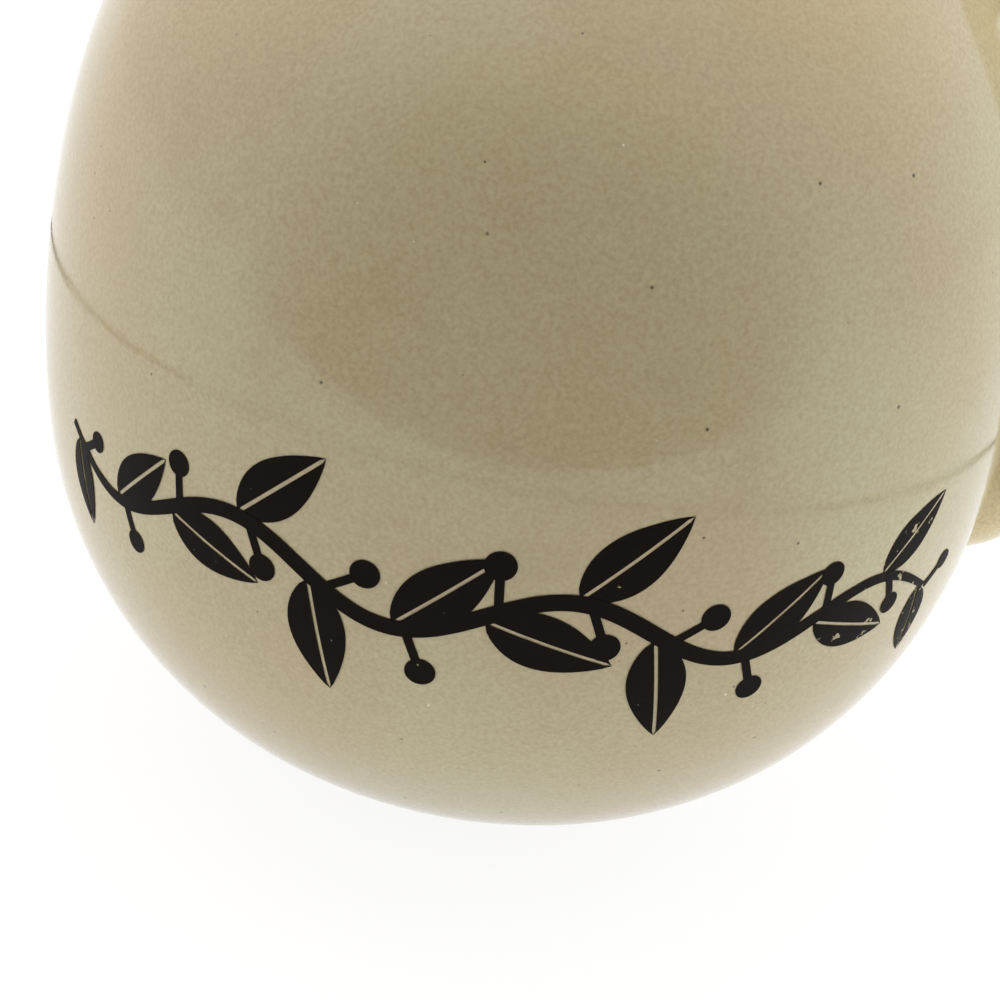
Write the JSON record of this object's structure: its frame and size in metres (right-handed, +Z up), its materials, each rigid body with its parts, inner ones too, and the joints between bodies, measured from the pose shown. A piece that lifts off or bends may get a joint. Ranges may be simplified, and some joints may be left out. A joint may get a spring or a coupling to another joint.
{
  "type": "parmesan shaker",
  "caption": "Round glazed ceramic cheese shaker with a pierced dome, a strap handle and a soft stopper in its base for filling.",
  "frame": {"origin": "centre of the foot ring, on the resting plane", "axes": "+Z up along the pot's axis, +X towards the handle, -Y towards the decorated front"},
  "size_m": [0.1167, 0.09, 0.0955],
  "materials": {
    "glaze": "semi-gloss ivory glaze with fine specks",
    "handle_glaze": "semi-gloss warm ivory glaze",
    "stopper": "matte soft moulding"
  },
  "bodies": {
    "shaker": {"pot": "glaze", "handle": "handle_glaze"},
    "stopper": {"stopper": "stopper"}
  },
  "joints": [
    {"name": "stopper_pull", "type": "slide", "parent": "shaker", "child": "stopper", "axis": [0, 0, -1], "range_m": [0, 0.02]}
  ]
}
